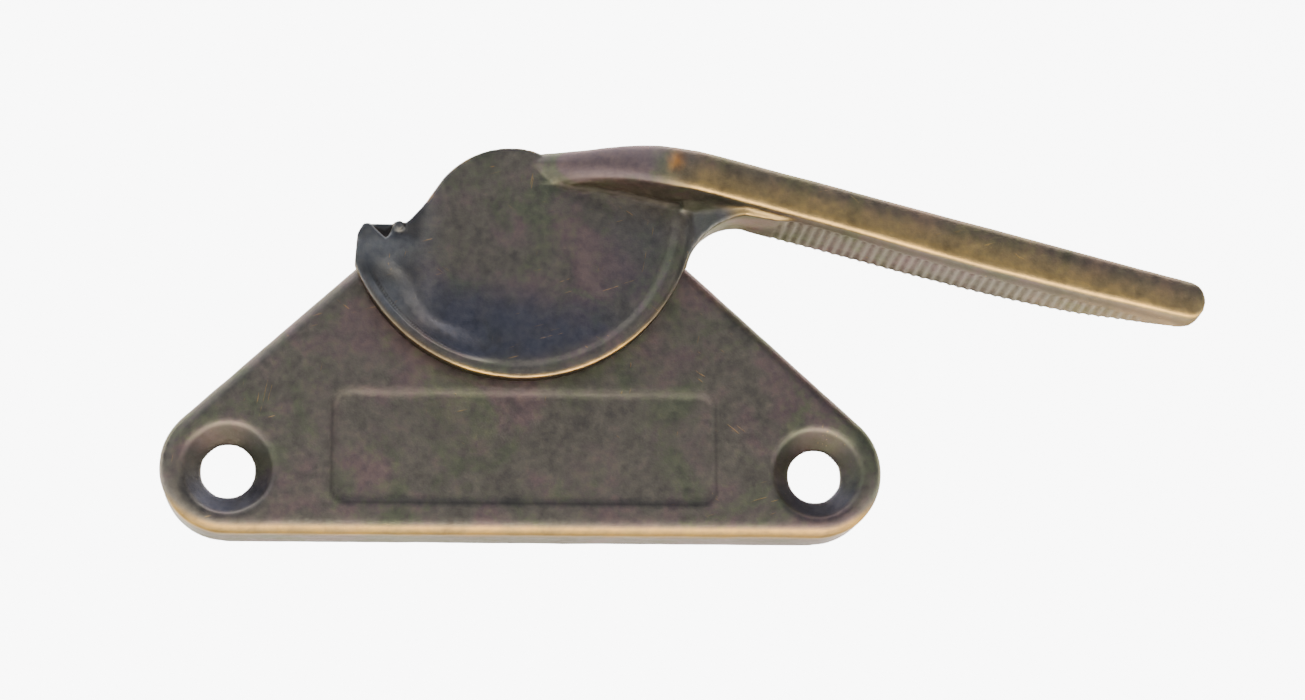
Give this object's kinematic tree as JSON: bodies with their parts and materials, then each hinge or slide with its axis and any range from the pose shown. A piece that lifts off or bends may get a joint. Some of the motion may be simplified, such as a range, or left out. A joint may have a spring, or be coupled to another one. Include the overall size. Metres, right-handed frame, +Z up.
{
  "type": "crescent sash lock",
  "caption": "Sash lock with a triangular cast base, an eccentric crescent cam turned half a turn by a ribbed thumb lever, and a spring detent behind.",
  "frame": {"origin": "midway between the two screw holes, on the mounting face", "axes": "+X along the base towards the lever, +Z up the window frame towards the crescent, +Y into the window frame; the front faces -Y"},
  "size_m": [0.1068, 0.016, 0.0404],
  "materials": {
    "base_bronze": "aged bronze patina, satin",
    "cam_bronze": "aged bronze patina, worn bright on the lever's edges",
    "bush_brass": "turned",
    "spindle_steel": "turned, riveted over at the end",
    "spring_steel": "blued spring steel",
    "sintered_steel": "sintered, oiled",
    "plate_steel": "pressed",
    "cover_zinc": "zinc plated, yellowed",
    "screw_steel": "zinc plated"
  },
  "bodies": {
    "base": {"base_housing": "base_bronze", "spindle_bush": "bush_brass", "disc_spring": "spring_steel", "leaf_spring": "spring_steel", "back_cover": "cover_zinc", "cover_screws": "screw_steel"},
    "cam": {"cam_lever": "cam_bronze", "spindle": "spindle_steel", "detent_block": "sintered_steel", "stop_plate": "plate_steel"}
  },
  "joints": [
    {"name": "lever_turn", "type": "hinge", "parent": "base", "child": "cam", "pos_m": [0, -0.008, 0.0248], "axis": [0, 1, 0], "range_deg": [0, 180], "deforming": ["leaf_spring"]}
  ]
}
